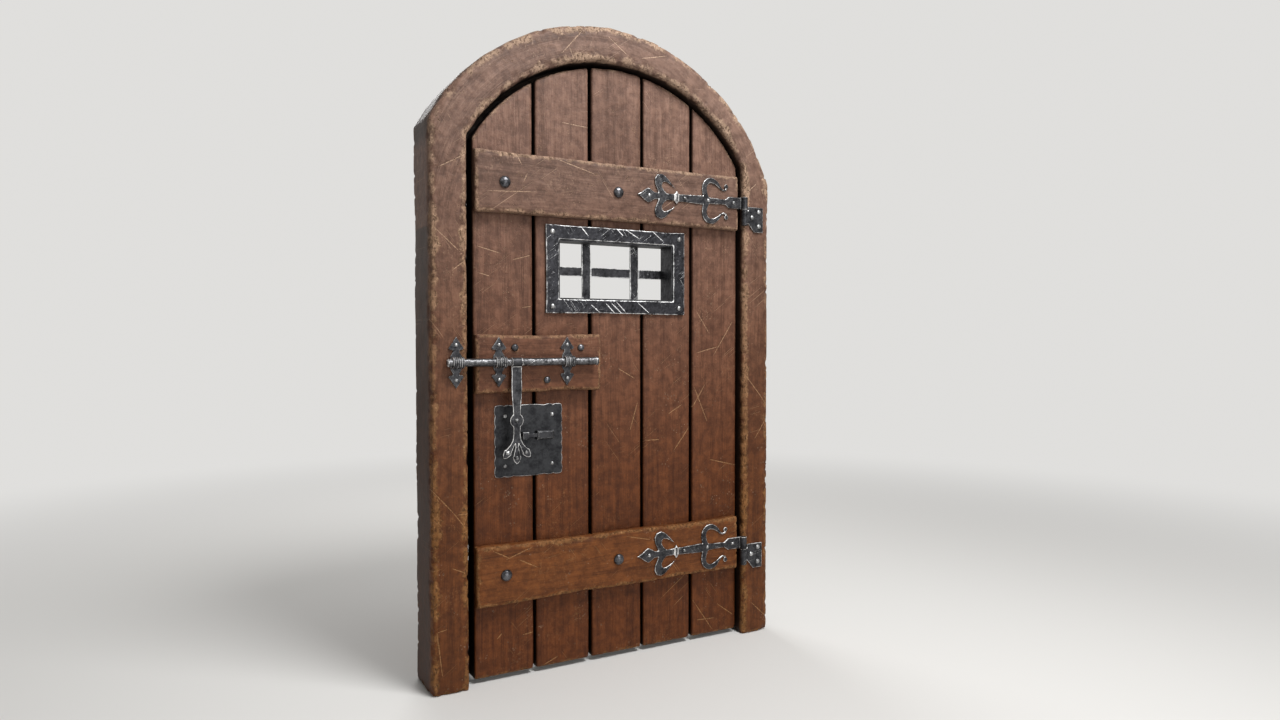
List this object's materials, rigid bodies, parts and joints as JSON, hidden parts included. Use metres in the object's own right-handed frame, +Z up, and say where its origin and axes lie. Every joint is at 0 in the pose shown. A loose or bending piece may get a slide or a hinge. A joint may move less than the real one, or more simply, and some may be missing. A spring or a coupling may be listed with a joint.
{
  "type": "ledged plank door in a round-headed frame",
  "caption": "Round-headed plank door hung in its timber frame, with strap hinges, a barred window, a sliding bolt with a hanging hasp, and a lock plate with a sliding catch.",
  "frame": {"origin": "on the floor, midway between the jambs' outer sides and midway through the depth of the whole part", "axes": "+X to the hinge side (the viewer's right from the front), +Y to the back, +Z up; the front with the ironwork faces -Y"},
  "size_m": [1.25, 0.2196, 2.087],
  "materials": {
    "frame_wood": "worn, hand-hewn, oiled",
    "leaf_wood": "worn, scratched, oiled",
    "forged_iron": "hammered, dark, edges rubbed bright",
    "bolt_iron": "hammered, polished by use",
    "nail_iron": "hammered, heads rubbed bright"
  },
  "bodies": {
    "frame": {"arch_head": "frame_wood", "left_jamb": "frame_wood", "right_jamb": "frame_wood", "head_pegs": "frame_wood", "frame_keeper": "forged_iron", "frame_keeper_nails": "nail_iron", "upper_pintle_plate": "forged_iron", "lower_pintle_plate": "forged_iron", "pintle_nails": "nail_iron", "upper_hinge_pin": "nail_iron", "lower_hinge_pin": "nail_iron"},
    "leaf": {"plank_lock_edge": "leaf_wood", "plank_window_left": "leaf_wood", "plank_above_window": "leaf_wood", "plank_below_window": "leaf_wood", "plank_window_right": "leaf_wood", "plank_hinge_edge": "leaf_wood", "top_ledge": "leaf_wood", "bottom_ledge": "leaf_wood", "lock_ledge": "leaf_wood", "large_studs": "nail_iron", "small_studs": "nail_iron", "stud_roves": "nail_iron", "window_border": "forged_iron", "window_rivets": "nail_iron", "window_liner": "forged_iron", "grille_bar_left": "forged_iron", "grille_bar_right": "forged_iron", "grille_crossbar": "forged_iron", "grille_nails": "nail_iron", "upper_strap": "forged_iron", "lower_strap": "forged_iron", "strap_nails": "nail_iron", "outer_keeper": "forged_iron", "inner_keeper": "forged_iron", "leaf_keeper_nails": "nail_iron", "lock_plate": "forged_iron", "lock_plate_nails": "nail_iron", "catch_guide": "forged_iron"},
    "bolt": {"bolt_rod": "bolt_iron"},
    "hasp": {"hasp": "forged_iron", "hasp_rivets": "nail_iron"},
    "catch": {"catch_bar": "forged_iron"}
  },
  "joints": [
    {"name": "leaf_swing", "type": "hinge", "parent": "frame", "child": "leaf", "pos_m": [0.499, -0.08425, 0.944], "axis": [0, 0, 1], "range_deg": [0, 110]},
    {"name": "bolt_slide", "type": "slide", "parent": "leaf", "child": "bolt", "axis": [1, 0, 0], "range_m": [0, 0.1]},
    {"name": "hasp_lift", "type": "hinge", "parent": "bolt", "child": "hasp", "pos_m": [-0.361, -0.09125, 0.998], "axis": [-1, 0, 0], "range_deg": [0, 160]},
    {"name": "catch_slide", "type": "slide", "parent": "leaf", "child": "catch", "axis": [1, 0, 0], "range_m": [0, 0.026]}
  ]
}
